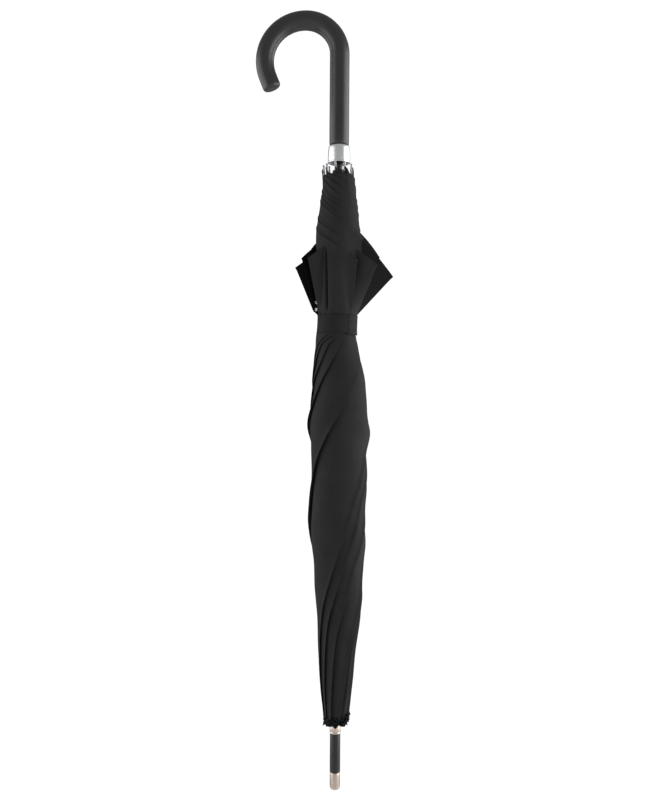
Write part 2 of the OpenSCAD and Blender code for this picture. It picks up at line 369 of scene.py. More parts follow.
CLOTH = cloth_material("umbrella_cloth", (0.025, 0.025, 0.0265), (0.030, 0.030, 0.0315))
# A darker, duller copy of the cloth: the cloth's inside face, darkened as painted shade. It colours the wings
# over the strap and the underside of the open canopy.
INSIDE_PAINTED_SHADE = cloth_material("cloth_inside_painted_shade", (0.011, 0.011, 0.0115), (0.014, 0.014, 0.0145), gloss=0.2)
BINDING = cloth_material("binding_cloth", (0.021, 0.021, 0.022), (0.026, 0.026, 0.0275), 0.6 * MM)
SOFT_TOUCH = grained("soft_touch_black", (0.013, 0.013, 0.014), (0.018, 0.018, 0.019), 0.38, 0.04, 0.0,
                     900.0, 0.02 * MM, Coat_Weight=0.3, Coat_Roughness=0.3)
CHROME = grained("polished_chrome", (0.80, 0.81, 0.82), (0.74, 0.75, 0.77), 0.33, 0.03, 1.0,
                 500.0, 0.001 * MM, stretch=(1, 1, 0.2))
NICKEL = grained("warm_nickel", (0.72, 0.61, 0.53), (0.66, 0.56, 0.49), 0.30, 0.04, 1.0,
                 700.0, 0.002 * MM, stretch=(1, 1, 0.12))
LACQUER = grained("black_lacquer", (0.009, 0.009, 0.0095), (0.013, 0.013, 0.014), 0.34, 0.04, 0.0,
                  600.0, 0.003 * MM, Coat_Weight=0.2, Coat_Roughness=0.25)
PLATED = grained("plated_ribs", (0.46, 0.46, 0.48), (0.38, 0.38, 0.40), 0.26, 0.05, 1.0,
                 900.0, 0.002 * MM, stretch=(1, 1, 0.1))
PINS = grained("steel_pins", (0.42, 0.42, 0.43), (0.36, 0.36, 0.37), 0.3, 0.06, 1.0, 900.0, 0.002 * MM)
STUD = grained("stud_metal", (0.62, 0.61, 0.59), (0.5, 0.5, 0.48), 0.25, 0.06, 1.0, 900.0, 0.002 * MM)
NYLON = grained("black_nylon", (0.015, 0.015, 0.016), (0.022, 0.022, 0.023), 0.46, 0.06, 0.0,
                700.0, 0.03 * MM)


def finish_piece(o, material, body, stands_for=()):
    """between two bodies has None here, and its builder bakes its place into its mesh."""
    if not o.data.materials:
        o.data.materials.append(material)
    if stands_for:
        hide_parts(*stands_for)
    if body:
        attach(o, body)


# ---------------------------------------------------------------- the handle, cup and ferrule

def build_handle():
    """The crook: a tighter quarter near the grip, a wider one beyond the top, and a blunt tail. It gets
    thinner towards the tail."""
    grip, thin = handle_hi[0], handle_hi[0] - 0.9 * MM
    width, top_z = -handle_lo[0] - grip - 1.4 * MM, handle_hi[2] - grip
    near_r, far_r = 0.45 * width, 0.55 * width
    turn, tail, edge = math.radians(112), 11.4 * MM, 3.8 * MM
    straight = [(0, 0, z) for z in np.linspace(handle_lo[2] + 0.5 * MM, top_z - near_r, 26)[:-1]]
    near = [(near_r * (math.cos(a) - 1), 0, top_z + near_r * (math.sin(a) - 1))
            for a in np.linspace(0, math.pi / 2, 46)]
    far = [(-near_r - far_r * math.sin(a), 0, top_z + far_r * (math.cos(a) - 1))
           for a in np.linspace(0, turn, 56)[1:]]
    along = np.array([-math.cos(turn), 0, -math.sin(turn)])
    end = [np.array(far[-1]) + along * s for s in np.linspace(0, tail, 8)[1:]]
    rim = np.radians(np.linspace(10, 84, 10))
    dome = [end[-1] + along * edge * s for s in np.sin(rim)]
    face = [dome[-1] + along * 0.3 * MM]
    path = np.array([*straight, *near, *far, *end, *dome, *face])
    arc = np.concatenate([[0], np.cumsum(np.linalg.norm(np.diff(path, axis=0), axis=1))])
    bend = arc[len(straight)], arc[len(straight) + len(near) + len(far)]
    radius = grip - (grip - thin) * smooth((arc - bend[0]) / (bend[1] - bend[0]))
    radius[-len(rim) - 1:-1] = thin - edge + edge * np.cos(rim)
    radius[-1] = 0.3 * thin
    radius[0] = grip - 0.4 * MM
    handle = sweep("handle_skin", path, lambda k: circle(56) * radius[k])
    finish_piece(handle, SOFT_TOUCH, "shaft", ["crook_handle"])


def build_cup():
    """The metal cup over the rib tips, hollow below, with a plug that the shaft goes through."""
    z0, z1 = cup_lo[2], cup_hi[2]
    mouth, top = cup_hi[0], 12.1 * MM
    wall = 0.7 * MM
    outer = [(mouth - 0.5 * MM, z0), (mouth, z0 + 0.35 * MM), (mouth, z0 + 1.3 * MM),
             (mouth - 0.25 * MM, z0 + 1.8 * MM), (mouth - 0.1 * MM, z0 + 5 * MM),
             (mouth - 0.25 * MM, z0 + 11 * MM), (top + 0.25 * MM, z1 - 3.2 * MM),
             (top - 0.1 * MM, z1 - 1.2 * MM), (handle_hi[0] + 0.05 * MM, z1)]
    inner = [(handle_hi[0] - 0.4 * MM, z1 - 0.6 * MM), (mouth - wall - 0.9 * MM, z1 - 4 * MM),
             (mouth - wall - 0.4 * MM, z0 + 3 * MM), (mouth - wall, z0 + 1.2 * MM),
             (mouth - wall + 0.05 * MM, z0 + 0.2 * MM)]
    profile = rounded([*outer, *inner, outer[0]], 0.5 * MM, 4)
    cup = lathe("cup_shell", profile, 96, sharp=60)
    p0, p1 = z0 + 14.6 * MM, z0 + 16.4 * MM
    plug = lathe("cup_plug", rounded([(0, p0), (mouth - 1.2 * MM, p0), (mouth - 1.9 * MM, p1), (0, p1)],
                                     0.2 * MM))
    finish_piece(plug, NYLON, "shaft")
    finish_piece(cup, CHROME, "shaft", ["rib_tip_cup"])


def build_end_cap():
    r, z0, z1 = cap_hi[0], cap_lo[2], cap_hi[2]
    groove = 0.25 * MM
    profile = [(0, z0), (r - 2.6 * MM, z0, 0.6 * MM), (r - 0.5 * MM, z0 + 1.5 * MM, 1.2 * MM),
               (r, z0 + 4.5 * MM, 1.5 * MM), (r, z1 - 1.5 * MM, 0.1 * MM),
               (r - groove, z1 - 1.2 * MM, 0.1 * MM), (r - groove, z1 - 0.8 * MM, 0.1 * MM),
               (r, z1 - 0.5 * MM, 0.1 * MM), (r - 0.1 * MM, z1, 0.2 * MM), (0, z1)]
    cap = lathe("end_cap_skin", rounded(profile, 0.2 * MM), 72, sharp=40)
    finish_piece(cap, NICKEL, "shaft", ["end_cap"])


def build_tube():
    r, z0, z1 = tube_hi[0], tube_lo[2], tube_hi[2]
    groove = 0.15 * MM
    profile = [(0, z0), (r - 0.35 * MM, z0), (r, z0 + 0.35 * MM), (r, z0 + 1.6 * MM),
               (r - groove, z0 + 1.9 * MM), (r - groove, z0 + 2.1 * MM), (r, z0 + 2.4 * MM),
               (r, z1 - 0.3 * MM), (r - 0.3 * MM, z1), (0, z1)]
    tube = lathe("ferrule_tube_skin", rounded(profile, 0.12 * MM), 72)
    finish_piece(tube, LACQUER, "shaft", ["ferrule_tube"])


def build_ring():
    """The nickel ring: two beads and a band of raised leaves between them."""
    r, z0, z1 = ring_hi[0], ring_lo[2], ring_hi[2]
    segments, rows, leaves = 160, 40, 10
    angle = np.linspace(0, 2 * np.pi, segments, endpoint=False)
    rings = [np.array([[0, 0, z0]])]
    for t in np.linspace(0, 1, rows):
        z = z0 + t * (z1 - z0)
        bead = 0.32 * MM * (math.exp(-((t - 0.08) / 0.06)**2) + math.exp(-((t - 0.92) / 0.06)**2))
        phase = (angle * leaves / (2 * np.pi)) % 1 - 0.5
        y = (t - 0.5) * 2.6
        leaf = np.clip(1 - (phase / 0.32)**2 - (y / 0.9)**2, 0, 1)**0.5
        vein = np.exp(-(phase / 0.05)**2) * (abs(y) < 0.85)
        stem = np.clip(1 - ((abs(phase) - 0.5) / 0.09)**2 - (y / 0.7)**2, 0, 1)**0.5
        relief = np.where(abs(y) < 1.0, 0.34 * leaf - 0.16 * vein + 0.25 * stem, 0) * MM
        rings.append(level_ring(r - 0.35 * MM + bead + relief, z, segments))
    rings.append(np.array([[0, 0, z1]]))
    finish_piece(rings_mesh("ferrule_ring_skin", rings, 60), NICKEL, "shaft", ["ferrule_ring"])


def build_frill():
    """Gathered black cloth at the crown: pinked discs with deep ruffles, one over the other."""
    hole = 6.7 * MM
    angle = np.linspace(0, 360, 241)
    share = np.linspace(0, 1, 12)[:, None]
    pinking = 0.55 * MM * np.abs(((angle / 5) % 1) * 2 - 1)
    for k in range(6):
        phase = np.random.default_rng(40 + k).uniform(0, 360, 3)
        ruffle = sum(size * np.sin(np.radians(waves * angle + p))
                     for size, waves, p in zip((1, 0.6, 0.4), (9, 14, 5), phase))
        # all but the lowest disc lean up and out to the right
        tilt = np.cos(np.radians(angle - 95)) * (k > 0)
        reach = 13.6 * MM + 0.3 * MM * k + 1.6 * MM * tilt + pinking - 0.35 * MM * ruffle
        radius = hole + (reach - hole) * share
        z = (frill_lo[2] + (1.6 + 1.9 * k) * MM + share**1.5 * (0.95 * MM * ruffle - 1.0 * MM)
             + 2.2 * MM * share**2 * tilt)
        p = around(angle[None, :], radius, z)
        p[:, -1] = p[:, 0]
        front, back = shell_points(p, 0.3 * MM)
        frill = shell_mesh(f"crown_frill_{k + 1}", front, back, metric_uv(p))
        finish_piece(frill, BINDING, "shaft", ["crown_rosette"] if k == 0 else ())


# ---------------------------------------------------------------- kinematics of the open canopy

def far_end(name):
    """The joint's limit away from rest, in degrees."""
    return max(joints[name]["range_deg"], key=abs)


def joint_matrix(name):
    """The joint's own motion from rest to its far end, as a 4x4 in the row frame."""
    j = joints[name]
    there, back = np.eye(4), np.eye(4)
    there[:3, 3] = j["pos_m"]
    back[:3, 3] = -np.array(j["pos_m"])
    return there @ rotation(j["axis"], far_end(name)) @ back


def open_matrix(body):
    """Where a body goes when the umbrella is fully open."""
    for j in joints.values():
        if j["child"] == body:
            return open_matrix(j["parent"]) @ joint_matrix(j["name"])
    return np.eye(4)


def apply(matrix, p):
    return p @ matrix[:3, :3].T + matrix[:3, 3]


# ---------------------------------------------------------------- the ribs

BEND_LOW, BEND_HIGH = rivet_z - 0.15, rivet_z + 0.15
# Where each rib's tip ends up beside its straight place, in mm (right, away from the camera): the tips
# aren't all inside the cup. Some of them are longer.
SPLAY = ((-6.5, 1.5), (-4.6, -0.5), (-6.8, -1.8), (-7.6, 0.0), (-4.0, -0.6), (0.0, 0.4), (2.2, 0.4),
         (4.3, -0.6))
SPLAY_START, SPLAY_REACH = 0.62, 0.1  # the height where the ribs begin to lean, and over how much
LONG_TIPS = (0, 1, 5, 6)
# a rib tip: share of its length, radius in mm
TIP_PROFILE = ((0.0, 0.75), (0.02, 1.3), (0.12, 1.4), (0.16, 1.15), (0.75, 1.1), (0.84, 1.45), (0.93, 1.45),
               (1.0, 0.7))


def rib_bearing(i):
    return 112.5 + RIB_STEP * i


def splay(i, z):
    """How far rib i and the cloth's edge on it lean aside at height z."""
    lean = np.array([*SPLAY[i], 0]) * MM
    return smooth((np.asarray(z) - SPLAY_START) / SPLAY_REACH)[..., None] * lean


def rib_line_radius(z):
    """How far the folded ribs are from the shaft's middle at height z."""
    low = hinge_r + (rib_r - hinge_r) * smooth((z - hinge_z - 0.004) / 0.045)
    high = rib_r + (rod_end_r - rib_r) * (z - rivet_z) / (hem_z - rivet_z)
    return np.where(z < rivet_z, low, high)


def rib_section(z):
    """The fluted bar of the inner rib, which turns into the round rod above the rivet."""
    bar = np.array([(-1.1, -0.8), (0, -0.85), (1.1, -0.8), (1.15, 0.0), (1.1, 0.8), (0.6, 0.85), (0.4, 0.2),
                    (-0.4, 0.2), (-0.6, 0.85), (-1.1, 0.8), (-1.15, 0.0)]) * MM
    a = np.arctan2(bar[:, 1], bar[:, 0])
    rod = np.stack([np.cos(a), np.sin(a)], axis=1) * 1.0 * MM
    t = smooth((z - rivet_z - 4 * MM) / (12 * MM))
    hinge_eye = 0.35 * math.exp(-((z - hinge_z) / (2.5 * MM))**2)
    rivet_eye = 0.2 * math.exp(-((z - rivet_z) / (5 * MM))**2)
    return (bar * (1 - t) + rod * t) * (1 + hinge_eye + rivet_eye)


def build_rib(i):
    """Rib i: its bar and rod as one bending strip, its tip, and the fork at its rivet."""
    stops = (hinge_z - 1.5 * MM, hinge_z + 0.05, rivet_z - 0.012, rivet_z + 0.024, hem_z)
    zs = np.concatenate([np.linspace(a, b, n)[:-1] for a, b, n in zip(stops, stops[1:], (16, 30, 16, 46))]
                        + [[hem_z]])
    bearing = rib_bearing(i)
    path = around(bearing, rib_line_radius(zs), zs) + splay(i, zs)
    across = around(bearing + 90, 1.0, 0.0)
    rib = sweep(f"rib_strip_{i + 1}", path, lambda k: rib_section(zs[k]), up=across, sharp=40)
    finish_piece(rib, PLATED, None, [f"rib_{i + 1}", f"rib_rod_{i + 1}"])
    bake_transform(rib)
    lean = (path[-1] - path[-6]) / np.linalg.norm(path[-1] - path[-6])
    length = tip_z - hem_z + (3.0 * MM if i in LONG_TIPS else 0.0)
    knots = np.array([path[-1] + lean * length * share for share, _ in TIP_PROFILE])
    tip = sweep(f"rib_tip_{i + 1}", knots, lambda k: circle(20) * TIP_PROFILE[k][1] * MM, up=across, sharp=30)
    finish_piece(tip, PLATED, f"rib_rod_{i + 1}")
    half, last = 8 * MM, 8
    fork_path = around(bearing, rib_line_radius(np.full(last + 1, rivet_z)) - 0.4 * MM,
                       rivet_z + np.linspace(-half, half, last + 1))
    channel = np.array([(-1.7, -1.6), (-1.25, -1.6), (-1.25, 1.0), (1.25, 1.0), (1.25, -1.6), (1.7, -1.6),
                        (1.7, 1.4), (-1.7, 1.4)]) * MM
    fork = sweep(f"rib_fork_{i + 1}", fork_path, lambda k: channel * (1 if 0 < k < last else 0.9),
                 up=across, sharp=30)
    finish_piece(fork, PLATED, f"rib_{i + 1}")


# ---------------------------------------------------------------- the furled panels

# For each panel: how far it is wound at 300 mm up, how far at the strap, the free corner's place (right,
# away from the camera, up) and the power of its hem's curve.
WOUND = ((150.5, 437.5, (-15, 32, 600), 1.5), (222.5, 457.5, (-49, 3, 597), 1.5),
         (199.5, 422.5, (-41.5, -9, 606), 1.5), (182.5, 397.5, (-34.4, -21, 605), 1.5),
         (179.5, 471.5, (21.3, -23.5, 603), 1.5), (146.5, 467.5, (43.8, -19, 598), 1.5),
         (125.5, 434.5, (63, 9, 588), 1.85), (112.5, 400.5, (47.5, 14, 611), 1.5))
# Three panels that differ over the strap: POCKET's inner layer turns in at a valley, KINKED leaves the bundle
# at a set bearing, and DISHED's outer layer is hollow. Bearings count on past the turns already wound.
POCKET, POCKET_BEARING = 3, 322 + 360
KINKED, KINK_BEARING = 5, 47 + 720
DISHED = 4
VALLEY_DEPTH, WIDE_VALLEY, NARROW_VALLEY = 5.0 * MM, 8.0, 2.8
STEADY_TWIST_Z = 0.542  # above this height the bundle is twisted no further
LEAST_WOUND = 54
# The corners whose free flaps take the darker inside cloth as painted shade: by their outer layer at the
# right, by their inner one at the left.
RIGHT_WINGS_PAINTED_SHADE, LEFT_WINGS_PAINTED_SHADE = (6, 7), (0, 1, 2)
HIDDEN_PLEATS = 14
GORE_WIDTH_PER_LENGTH = 0.645
ROWS, OUT_COLS, IN_COLS = 150, 62, 84


def twist(z):
    """How far the bundle is twisted at height z, from none at 300 mm."""
    return stations(z, (85, -89), (115, -83.5), (187, -65.5), (245, -33), (300, 0), (350, 30), (437, 108),
                    (509, 188), (522, 202), (542, 222))


def body_radius(z, bearing, valley_width=WIDE_VALLEY):
    """The bundle's outer radius at a bearing: mean, lean to the right, swell at both sides, and the valley
    over the strap."""
    mean = stations(z, (84, 13.3), (116, 17.7), (157, 21.3), (199, 25.6), (221, 27.1), (245, 27.1),
                    (263, 28.2), (281, 30.9), (304, 31.8), (322, 30.9), (345, 31.6), (373, 31.4), (386, 31.7),
                    (400, 32.8), (412, 33.8), (428, 33.2), (441, 32.1), (455, 30.8), (469, 29.9), (485, 27.2),
                    (518, 22.6), (542, 22.0), (575, 23.4), (612, 25.2), (638, 25.1), (659, 22.7), (676, 21.0),
                    (700, 19.7), (712, 19.2))
    lean = stations(z, (84, 0.9), (125, 1.6), (157, 2.1), (205, 4.3), (221, 3.4), (235, 1.9), (262, 1.2),
                    (290, 0.5), (320, -0.6), (355, 0.6), (373, -0.5), (386, -1.3), (404, -0.4), (428, -0.7),
                    (441, 0.6), (469, 1.3), (485, 0.8), (500, -1.3), (515, -1.9), (542, -1.0), (640, -0.4),
                    (676, 0.3), (712, 0.6))
    side = np.sin(np.radians(bearing))
    swell = 1.3 * side**2 * np.exp(-((z - 0.412) / 0.016)**2) + 0.4 * ripples(bearing, z, 3, 3, 12)
    valley = VALLEY_DEPTH * smooth((z - 0.543) / 0.012) * smooth((0.622 - z) / 0.015)
    off = (bearing - POCKET_BEARING - 3 + 180) % 360 - 180
    return (mean + lean * side + swell) * MM - valley * np.exp(-(off / valley_width)**2)


def seat_radius(z):
    """Where the cloth leaves the ribs."""
    return rib_line_radius(z) + 1.4 * MM


def wound_at(k, z):
    """How far round from its own rib panel k is wound at height z, in degrees."""
    low, high = WOUND[k][:2]
    gap = high - low - twist(STEADY_TWIST_Z)
    wound = low + twist(np.minimum(z, STEADY_TWIST_Z)) + gap * smooth((z - 0.507) / 0.035)
    return LEAST_WOUND + 9 * np.logaddexp(0, (wound - LEAST_WOUND) / 9)


def layer_radius(alpha, z, bearing, valley_width=WIDE_VALLEY):
    """The spiral's radius at angle alpha from a panel's own rib. All panels share it, so layers never
    cross."""
    usual = sum(wound_at(k, z) for k in range(PANELS)) / PANELS
    pace = stations(z, (80, 0.45), (560, 0.45), (600, 0.36), (640, 0.24), (712, 0.22))
    share = (1 - np.exp(-np.maximum(alpha, 0) / (pace * usual))) / (1 - np.exp(-1 / pace))
    base = seat_radius(z)
    return base + (body_radius(z, bearing, valley_width) - base) * share


def fold_line(k, z):
    """Bearing, radius and place of panel k's fold edge at height z."""
    root = rib_bearing(k)
    at_strap = root + WOUND[k][1]
    corner = np.array(WOUND[k][2]) * MM
    start = around(at_strap, layer_radius(WOUND[k][1], strap_top, at_strap), strap_top)
    share = np.clip((z - strap_top) / (corner[2] - strap_top), 0, 1)[..., None]
    p = start * (1 - share) + corner * share
    # the wings at the left bulge out over the strap
    bulge = (4.2 * MM if k in LEFT_WINGS_PAINTED_SHADE else 0.0) * smooth((z - strap_top) / (6 * MM))
    p = p + around(at_strap, 1.0, 0.0) * bulge[..., None] * (1 - share)
    p[..., 2] = z
    bearing = np.degrees(np.arctan2(p[..., 0], -p[..., 1]))
    bearing = at_strap + (bearing - at_strap + 180) % 360 - 180
    return bearing, np.hypot(p[..., 0], p[..., 1]), p


def puckers(bearing, z):
    """Creases in the outer layers: soft pleats at the crown and creases that fan out from the strap."""
    slant = bearing - 360 * 1.1 * z
    crown = 0.5 * np.exp(-np.maximum(z - 0.084, 0) / 0.035) * ripples(slant, z, 10, 18, 6)
    fan = 0.5 * np.exp(-np.abs(z - 0.532) / 0.024) * ripples(bearing, z, 11, 14, 22)
    top = 0.45 * smooth((z - 0.655) / 0.03) * ripples(bearing, z, 14, 16, 8)
    long = 0.28 * ripples(slant, z, 12, 5, 5) * smooth((z - 0.1) / 0.06)
    fine = 0.07 * ripples(slant, z, 13, 14, 30)
    return (crown + fan + top + long + fine) * MM


def furled_point(k, q, z, inner):
    """Points of panel k, and which of them are on its free corner. q is 0 at the rib and 1 at the fold edge;
    the inner layer hangs from the next rib."""
    root = rib_bearing(k)
    loose = z > strap_top
    e_bearing, e_radius, edge = fold_line(k, z)
    wrap = wound_at(k, z)
    # where the free corner leaves the bundle depends on the radius there, so the two are found in turn
    for _ in range(3):
        r = np.minimum(layer_radius(wrap, z, root + wrap), e_radius - 1e-6)
        leave = e_bearing - np.degrees(np.arccos(np.clip(r / e_radius, 0, 1))) - root
        if k == KINKED:
            leave = leave + (KINK_BEARING - root - leave) * smooth((z - strap_top) / (25 * MM))
        wrap = np.where(loose, leave, wound_at(k, z))
    start_alpha = RIB_STEP if inner else 0.0
    land = wrap
    if inner and k == POCKET:
        land = wrap + (POCKET_BEARING - root - wrap) * smooth((z - strap_top + 6 * MM) / (12 * MM))
    wound_length = np.radians(land - start_alpha) * r
    land_r = layer_radius(land, z, root + land)
    if inner:
        gap = land_r - layer_radius(land - RIB_STEP, z, root + land)
        land_r = land_r - 0.45 * gap - (0.9 * MM if k == POCKET else 0.25 * MM) * loose
    landing = around(root + land, land_r, z)
    flap = np.linalg.norm((edge - landing)[..., :2], axis=-1) * loose
    total = wound_length + flap
    s = q * total
    alpha = start_alpha + np.minimum(s / np.maximum(wound_length, 1e-9), 1) * (land - start_alpha)
    dished = k == DISHED and not inner
    radius = layer_radius(alpha, z, root + alpha, NARROW_VALLEY if dished else WIDE_VALLEY)
    # the fold has a raised lip, sharper below
    sharp = smooth((0.46 - z) / 0.06)
    near_fold = np.exp(-(((1 - q) * total) / ((4.5 - 2.2 * sharp) * MM))**2)
    if inner:
        below = layer_radius(alpha - RIB_STEP, z, root + alpha)
        share = 1 - 0.55 * smooth((alpha - RIB_STEP) / 60)
        share = share * smooth((1 - q) * total / (5 * MM))
        radius = radius - share * (radius - below)
        # the cloth that isn't wound lies in small pleats inside the bundle
        spare = np.clip(GORE_WIDTH_PER_LENGTH * (z - crown_z) / total - 2, 0, 3)
        depth = 2 * np.sqrt(spare) * (1 + 0.2 * spare) * total / (np.pi * HIDDEN_PLEATS)
        depth = np.minimum(depth, 3.8 * MM) * smooth((0.528 - z) / 0.03) * smooth((z - 0.086) / 0.02)
        pleat = depth * (0.5 - 0.5 * np.cos(2 * np.pi * HIDDEN_PLEATS * q)) * np.sin(np.pi * q)**0.3
        radius = np.maximum(radius - pleat, np.minimum(radius, seat_radius(z) - 0.4 * MM))
        radius = np.where(loose & (alpha > wrap), np.minimum(radius, land_r), radius)
    tight = np.exp(-((z - 0.532) / 0.022)**2)
    radius = radius + near_fold * ((0.9 + 0.7 * sharp) * MM * (1 - 0.85 * tight)) * ~loose
    place = around(root + alpha, radius, z)
    place = place + around(root + alpha, 1.0, 0.0) * puckers(alpha + root, z)[..., None]
    # the free corner runs straight from where it leaves the bundle, but for a slight curl
    out = np.clip((s - wound_length) / np.maximum(flap, 1e-9), 0, 1)[..., None]
    straight = landing * (1 - out) + edge * out
    side = np.cross(np.broadcast_to([0.0, 0.0, 1.0], edge.shape), edge - landing)
    side = side / np.maximum(np.linalg.norm(side, axis=-1, keepdims=True), 1e-9)
    if dished:
        curl = -1.8 * MM * np.sin(np.pi * out)**2 * smooth((z - strap_top) / (20 * MM))[..., None]
    else:
        fullness = np.minimum(flap, 0.03)[..., None]
        curl = 0.06 * fullness * np.sin(np.pi * out) * (-1 if inner else 1)
    straight = straight - side * curl
    on_flap = (s > wound_length) & loose
    place = np.where(on_flap[..., None], straight, place)
    own_rib = (k + 1) % PANELS if inner else k
    follow = np.exp(-((alpha - start_alpha) / 38.0)**2)[..., None]
    return place + splay(own_rib, z) * follow * ~on_flap[..., None], on_flap & (out[..., 0] > 0.3)


def hem_height(k, q):
    """The height of panel k's hem: it drops from the rib to the free corner."""
    corner = WOUND[k][2][2] * MM
    peak = 9 * MM * np.exp(-(q / 0.035)**2)
    start = hem_z - 4 * MM
    return start - (start - corner) * q**WOUND[k][3] * smooth((q - 0.1) / 0.3) + peak


def build_furled(k):
    """Panel k + 1 wound round the shaft, as one sheet: out from its rib to the fold, and back to the next
    rib."""
    q_out = 1 - (1 - np.linspace(0, 1, OUT_COLS))**1.5
    q_in = 1 - np.linspace(0, 1, IN_COLS + 1)[1:]**1.5
    v = 1 - (1 - np.linspace(0, 1, ROWS)[:, None])**1.25
    parts, painted_shade = [], []
    if k == DISHED:
        q_out = np.sort(np.concatenate([q_out, np.linspace(0.77, 0.89, 26)]))
    for q, inner in ((q_out, False), (q_in, True)):
        hem = hem_height(k, q)[None, :]
        z = crown_z + (hem - crown_z) * v
        grid, on_flap = furled_point(k, np.broadcast_to(q[None, :], z.shape), z, inner)
        near_hem = np.exp(-((hem - z) / (2.4 * MM))**2)[..., None]
        outward = grid * (1, 1, 0)
        outward = outward / np.linalg.norm(outward, axis=-1, keepdims=True)
        parts.append(grid + outward * near_hem * (0.0 if inner else 0.55 * MM))
        # the free corners of these wings get the darker inside cloth as painted shade
        painted_shade.append(on_flap & (k in (LEFT_WINGS_PAINTED_SHADE if inner else RIGHT_WINGS_PAINTED_SHADE)))
    p = np.concatenate(parts, axis=1)
    painted_shade = np.concatenate(painted_shade, axis=1)[:-1, 1:]
    front, back = shell_points(p, CLOTH_T)
    panel = shell_mesh(f"furled_panel_{k + 1}", front, back, metric_uv(p), (painted_shade, painted_shade))
    finish_piece(panel, CLOTH, "shaft")
    return panel, p


# ---------------------------------------------------------------- the spread panels

SAG_RIVET, SAG_HEM, SCALLOP = 16 * MM, 27 * MM, 26 * MM
SEAM_ABOVE_RIB, LAP, LAP_STEP = 1.9 * MM, 5 * MM, 0.4 * MM
# the cloth is lifted over the forks at the rivets
FORK_LIFT, FORK_REACH = 3.4 * MM, 24 * MM


def seam_open(i, z):
    """The seam over rib i when the umbrella is open, bent as the visible rib bends."""
    i = i % PANELS
    fork = FORK_LIFT * np.exp(-((z - rivet_z) / FORK_REACH)**2)
    rest = around(rib_bearing(i), rib_line_radius(z) + SEAM_ABOVE_RIB + fork, z)
    weight = smooth((z - BEND_LOW) / (BEND_HIGH - BEND_LOW))
    flex = joints[f"rib_{i + 1}_flex"]
    pivot = np.array(flex["pos_m"])
    axis = np.array(flex["axis"], float)
    axis /= np.linalg.norm(axis)
    angle = np.radians(far_end(flex["name"])) * weight[..., None]
    p = rest - pivot
    bent = (p * np.cos(angle) + np.cross(np.broadcast_to(axis, p.shape), p) * np.sin(angle)
            + axis * (p @ axis)[..., None] * (1 - np.cos(angle)) + pivot)
    return apply(open_matrix(f"rib_{i + 1}"), bent)


def spread_grid(i, z_low, z_high, rows, cols, scalloped):
    """The open cloth between ribs i and i + 1, sagging between them, from rest height z_low to z_high."""
    t = np.linspace(0, 1, cols)[None, :]
    v = np.linspace(0, 1, rows)[:, None]
    drop = SCALLOP * 4 * t * (1 - t) if scalloped else 0 * t
    z = z_low + (z_high - drop - z_low) * v
    a, b = seam_open(i, z), seam_open(i + 1, z)
    chord = a * (1 - t[..., None]) + b * t[..., None]
    run = seam_open(i, z + 1 * MM) - a + seam_open(i + 1, z + 1 * MM) - b
    n = np.cross(b - a, run)
    n /= np.linalg.norm(n, axis=-1, keepdims=True)
    n *= np.sign(n[..., 2:])
    low = SAG_RIVET * np.clip((z - hinge_z) / (rivet_z - hinge_z), 0, 1)**1.3
    sag = np.where(z < rivet_z, low, SAG_RIVET + (SAG_HEM - SAG_RIVET) * (z - rivet_z) / (hem_z - rivet_z))
    return chord + n * (sag * 4 * t * (1 - t))[..., None]


def rest_from_open(p, a, b, start, end):
    ma, mb = open_matrix(a), open_matrix(b)
    rel = np.linalg.inv(ma) @ mb
    r, t = rel[:3, :3], rel[:3, 3]
    angle = math.acos((np.trace(r) - 1) / 2)
    axis = np.array([r[2, 1] - r[1, 2], r[0, 2] - r[2, 0], r[1, 0] - r[0, 1]])
    axis /= np.linalg.norm(axis)
    along = (t @ axis) * axis
    pivot = np.linalg.lstsq(np.eye(3) - r, t - along, rcond=None)[0]
    local = apply(np.linalg.inv(ma), p)
    d = np.array(end) - np.array(start)

    def unturned(w):
        """The rest places of the points if each gets a share w of body b's motion."""
        u = local - w[:, None] * along - pivot
        c, s = np.cos(-w * angle)[:, None], np.sin(-w * angle)[:, None]
        across = np.cross(np.broadcast_to(axis, u.shape), u)
        return pivot + u * c + across * s + axis * (u @ axis)[:, None] * (1 - c)

    # w, the share of body b's motion that a point gets, is found by halving
    low, high = np.zeros(len(p)), np.ones(len(p))
    for _ in range(46):
        w = (low + high) / 2
        found = smooth(((unturned(w) - start) @ d) / (d @ d))
        low, high = np.where(found > w, w, low), np.where(found > w, high, w)
    return unturned((low + high) / 2)


